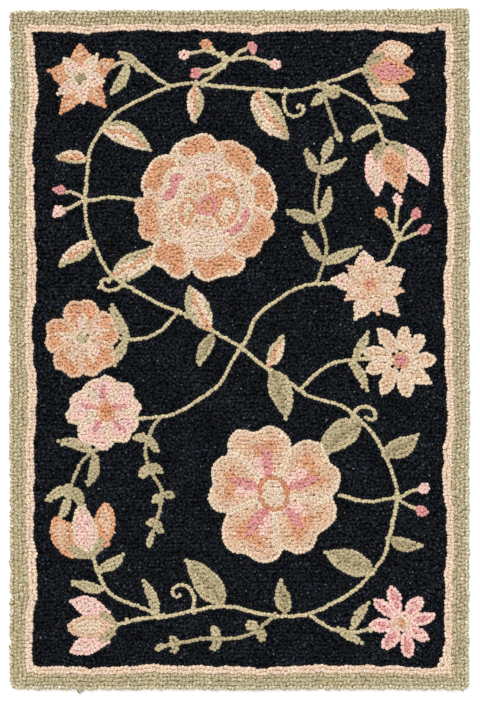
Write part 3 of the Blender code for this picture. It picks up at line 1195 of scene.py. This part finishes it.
def make_lint(hand):
    """Pale lint on the rug's face."""
    place = np.column_stack([hand.uniform(-half, half, LINT_COUNT) for half in FIELD_HALF])
    turn = hand.uniform(0, 2 * math.pi, LINT_COUNT)
    length = LINT_LEAST + hand.exponential(LINT_REST, LINT_COUNT)
    start = np.column_stack((place, np.full(LINT_COUNT, LINT_HEIGHT)))
    ahead = np.column_stack((ahead_of(turn), np.zeros(LINT_COUNT))) * length[:, None]
    colour = linear(LINT) * hand.uniform(0.25, 1.0, (LINT_COUNT, 1))
    return make_fibres("lint", start, ahead, LINT_WIDTH, colour, hand)


# ---- materials

# The two yarns: how uneven the dye is against the fibres, what it adds to the colour where it is darkest and
# where it is palest, and the shader's own values.
PALE_WOOL = (2.8, -0.32, 0.27, {
    "Roughness": 0.88,
    "Sheen Weight": 0.25,
    "Sheen Roughness": 0.5,
    "Sheen Tint": (1.0, 0.95, 0.9, 1.0),
    "Specular IOR Level": 0.25,
})
DARK_WOOL = (3.0, -0.42, 0.70, {
    "Roughness": 0.60,
    "Sheen Weight": 0.01,
    "Sheen Roughness": 0.5,
    "Sheen Tint": (0.7, 0.8, 1.0, 1.0),
    "Specular IOR Level": 0.04,
})


def set_inputs(tree, node, inputs):
    """Sets a node's inputs, each to a value or to another node's output."""
    for key, value in inputs.items():
        if isinstance(value, bpy.types.NodeSocket):
            tree.links.new(value, node.inputs[key])
        else:
            node.inputs[key].default_value = value


def add_node(tree, kind, output, inputs, **settings):
    """Adds a node with its settings and inputs, and returns one of its outputs."""
    node = tree.nodes.new("ShaderNode" + kind)
    for key, value in settings.items():
        setattr(node, key, value)
    set_inputs(tree, node, inputs)
    return node.outputs[output]


def new_material(name):
    """A material, its node tree and its shader."""
    material = bpy.data.materials.new(name)
    material.use_nodes = True
    return material, material.node_tree, material.node_tree.nodes["Principled BSDF"]


def make_wool(name, dye_share, darkest, palest, values):
    """Matt wool yarn: fine fibres along each ply, and dye that took unevenly."""
    material, tree, shader = new_material(name)
    yarn = add_node(tree, "UVMap", "UV", {}, uv_map="yarn")
    dyed = add_node(tree, "VertexColor", "Color", {}, layer_name="wool")
    drawn = add_node(tree, "Mapping", "Vector", {"Vector": yarn, "Scale": (0.35, 1.0, 1.0)})
    fibres = add_node(tree, "TexNoise", "Fac", {"Vector": drawn, "Scale": 2.2, "Detail": 3.0,
                                                "Roughness": 0.6, "Distortion": 0.4})
    heather = add_node(tree, "TexNoise", "Fac", {"Vector": yarn, "Scale": 0.48, "Detail": 2.0,
                                                 "Roughness": 0.6})
    both = add_node(tree, "Math", 0, {0: heather, 1: dye_share, 2: fibres}, operation="MULTIPLY_ADD")
    middle = 0.5 + 0.5 * dye_share
    half = add_node(tree, "MapRange", 0, {"Value": both, "From Min": middle - 0.5, "From Max": middle + 0.5,
                                          "To Min": darkest, "To Max": palest})
    grey = add_node(tree, "RGBToBW", 0, {"Color": dyed})
    lift = add_node(tree, "Math", 0, {0: grey, 1: half}, operation="MULTIPLY")
    share = add_node(tree, "Math", 0, {0: half, 1: 1.0}, operation="ADD")
    toned = add_node(tree, "VectorMath", 0, {0: dyed, "Scale": share}, operation="SCALE")
    colour = add_node(tree, "VectorMath", 0, {0: toned, 1: lift}, operation="ADD")
    bump = add_node(tree, "Bump", 0, {"Height": fibres, "Strength": 0.7, "Distance": 0.0004})
    set_inputs(tree, shader, {"Base Color": colour, "Normal": bump, **values})
    return material


def make_cotton(name):
    """Plain woven cotton."""
    material, tree, shader = new_material(name)
    where = add_node(tree, "TexCoord", "Object", {})
    wave = {"Vector": where, "Scale": 150.0, "Distortion": 0.6, "Detail": 1.0, "Detail Scale": 2.0}
    warp, weft = (add_node(tree, "TexWave", "Fac", wave, bands_direction=direction) for direction in "XY")
    threads = add_node(tree, "Math", 0, {0: warp, 1: weft}, operation="MULTIPLY")
    slubs = add_node(tree, "TexNoise", "Fac", {"Vector": where, "Scale": 45.0, "Detail": 5.0})
    both = add_node(tree, "Math", 0, {0: threads, 1: 0.4, 2: slubs}, operation="MULTIPLY_ADD")
    shade = add_node(tree, "MapRange", 0, {"Value": both, "From Min": 0.2, "From Max": 1.2,
                                           "To Min": 0.80, "To Max": 1.10})
    dyed = add_node(tree, "VertexColor", "Color", {}, layer_name="wool")
    tinted = add_node(tree, "VectorMath", 0, {0: dyed, "Scale": shade}, operation="SCALE")
    bump = add_node(tree, "Bump", 0, {"Height": threads, "Strength": 0.3, "Distance": 0.0003})
    set_inputs(tree, shader, {"Base Color": tinted, "Normal": bump, "Roughness": 0.95})
    return material


# ---- ground cloth

# The cloth lies inside the edge and is thinner at its rim. On top its colour is painted shade under the wool:
# darker than the cotton under the border, and near black under the field.
CLOTH_INSET = 2.0
CLOTH_CELLS = (36, 54)
CLOTH_THICKNESS = 2.0
CLOTH_RIM_THICKNESS = 1.6
COTTON = (214, 200, 172)
SHADE_UNDER_FIELD = (30, 30, 33)
SHADE_UNDER_BORDER = (150, 138, 108)


def make_cloth(hand):
    """The cotton ground cloth, a thin closed sheet under the pile, a little wavy on top."""
    columns, rows = CLOTH_CELLS
    half_x, half_y = WIDTH / 2 - CLOTH_INSET, LENGTH / 2 - CLOTH_INSET
    across = np.linspace(-half_x, half_x, columns + 1)
    x, y = np.array([(x, y) for y in np.linspace(-half_y, half_y, rows + 1) for x in across]).T
    places = stray(np.column_stack((x, y)))
    inset = np.minimum(WIDTH / 2 - abs(x), LENGTH / 2 - abs(y))
    top = CLOTH_THICKNESS + 0.15 * soft_noise(x, y, 70, hand)
    top = np.where(inset < CLOTH_INSET + 1, CLOTH_RIM_THICKNESS, top)
    count = len(x)
    verts = np.vstack((np.column_stack((places, top)), np.column_stack((places, np.zeros(count)))))
    index = np.arange(count).reshape(rows + 1, columns + 1)
    cells = [part.ravel() for part in (index[:-1, :-1], index[:-1, 1:], index[1:, 1:], index[1:, :-1])]
    faces = np.column_stack(cells).tolist()
    faces += (np.column_stack(cells[::-1]) + count).tolist()
    rim = np.concatenate((index[0, :-1], index[:-1, -1], index[-1, :0:-1], index[:0:-1, 0]))
    onward = np.roll(rim, -1)
    faces += np.column_stack((rim + count, onward + count, onward, rim)).tolist()
    mesh = bpy.data.meshes.new("ground_cloth")
    mesh.from_pydata((verts * MM).tolist(), [], faces)
    mesh.shade_smooth()
    mesh.set_sharp_from_angle(angle=math.radians(40))
    # The top is painted with the shade that the wool casts on it.
    shaded_top = np.where((inset > LINE_END - 4)[:, None], linear(SHADE_UNDER_FIELD), linear(SHADE_UNDER_BORDER))
    paint(mesh, np.vstack((shaded_top, np.tile(linear(COTTON), (count, 1)))))
    mesh.materials.append(make_cotton("cotton"))
    return add_object("ground_cloth", mesh)


# ---- studio

# In metres: how much of the rug's length and surroundings the photo spans, and what the camera looks at.
PHOTO_SPAN = 0.931
AIM = (0.0009, -0.0020)
CAMERA_HEIGHT = 4.0
SENSOR = 36.0
KEY_FROM = (-0.32, 0.80, 1.10)
KEY_STRENGTH = 2.0
KEY_ANGLE = 22
SKY_STRENGTH = 0.60
WHITE = (1.0, 1.0, 1.0, 1.0)

# The floor reaches so many metres each way. It lies so many millimetres above the cloth's underside, so that
# neither hides in the other seen from below. It glows, to be as pale as in the photo.
FLOOR_HALF = 3.0
FLOOR_LEVEL = 0.1
FLOOR_GLOW = 0.38


def make_studio():
    """A plain pale floor, soft light from the upper left, and a camera that looks straight down."""
    mesh = bpy.data.meshes.new("floor")
    corners = [(x * FLOOR_HALF, y * FLOOR_HALF, FLOOR_LEVEL * MM) for x, y in CORNERS]
    mesh.from_pydata(corners, [], [(0, 1, 2, 3)])
    floor = add_object("floor", mesh)
    material, tree, shader = new_material("floor_paint")
    grain = add_node(tree, "TexNoise", "Fac", {"Scale": 40.0, "Detail": 2.0})
    tone = add_node(tree, "MapRange", 0, {"Value": grain, "To Min": 0.93, "To Max": 0.95})
    set_inputs(tree, shader, {"Base Color": tone, "Roughness": 0.9, "Emission Color": WHITE,
                              "Emission Strength": FLOOR_GLOW})
    mesh.materials.append(material)

    lamp = bpy.data.lights.new("key", "SUN")
    lamp.energy = KEY_STRENGTH
    lamp.angle = math.radians(KEY_ANGLE)
    key = add_object("key", lamp)
    key.rotation_euler = Vector(KEY_FROM).to_track_quat("Z", "Y").to_euler()

    world = bpy.data.worlds.new("studio")
    world.use_nodes = True
    background = world.node_tree.nodes["Background"]
    set_inputs(world.node_tree, background, {"Color": WHITE, "Strength": SKY_STRENGTH})
    bpy.context.scene.world = world
    bpy.context.scene.view_settings.view_transform = "Standard"

    lens = bpy.data.cameras.new("camera")
    lens.sensor_width = SENSOR
    lens.lens = SENSOR * CAMERA_HEIGHT / PHOTO_SPAN
    camera = add_object("camera", lens)
    camera.location = (*AIM, CAMERA_HEIGHT + PILE_TOP * MM)
    bpy.context.scene.camera = camera


# ---- assembly

PIECES = (
    # name, wools, slot
    ("pile_border", ("border",), "wool_border"),
    ("pile_line", ("line",), "wool_line"),
    ("pile_coral", ("coral", "deep"), "wool_motifs"),
    ("pile_cream", ("cream", "peach"), "wool_motifs"),
    ("pile_pink", ("rose", "pink", "blush"), "wool_motifs"),
    ("pile_green", ("leaf", "sage", "olive"), "wool_motifs"),
    ("pile_stem", ("stem",), "wool_motifs"),
)
SEGMENTS = 8
FIELD_PIECES = 4
FIELD_SEGMENTS = 6


def make_pile(hand):
    """The pile, a piece for each group of wools, with the field in four bands from the bottom up."""
    form = shape_loops(lay_pile(hand), hand)
    pale = make_wool("wool_pale", *PALE_WOOL)
    dark = make_wool("wool_dark", *DARK_WOOL)
    pieces = []
    for name, wools, slot in PIECES:
        chosen = is_wool(form["wool"], *wools)
        pieces.append((make_loops(name, form, chosen, hand, SEGMENTS, PALE_UNEVEN), pale, slot))
    band = ((form["y"] / (2 * FIELD_HALF[1]) + 0.5) * FIELD_PIECES).astype(int)
    band = np.clip(band, 0, FIELD_PIECES - 1)
    for k in range(FIELD_PIECES):
        name = f"pile_field_{k + 1}"
        chosen = is_wool(form["wool"], "field") & (band == k)
        pieces.append((make_loops(name, form, chosen, hand, FIELD_SEGMENTS, DARK_UNEVEN), dark, "wool_pile"))
    pieces.append((make_fuzz(form, hand), pale, "wool_border"))
    pieces.append((make_lint(hand), pale, "wool_line"))
    for piece, wool, slot in pieces:
        piece.data.materials.append(wool)
        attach(piece, "root")
        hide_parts("rug")
    return [piece for piece, _, _ in pieces]


hand = np.random.default_rng(SEED)
pile_pieces = make_pile(hand)
cloth = make_cloth(hand)
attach(cloth, "root")
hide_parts("rug")
make_studio()
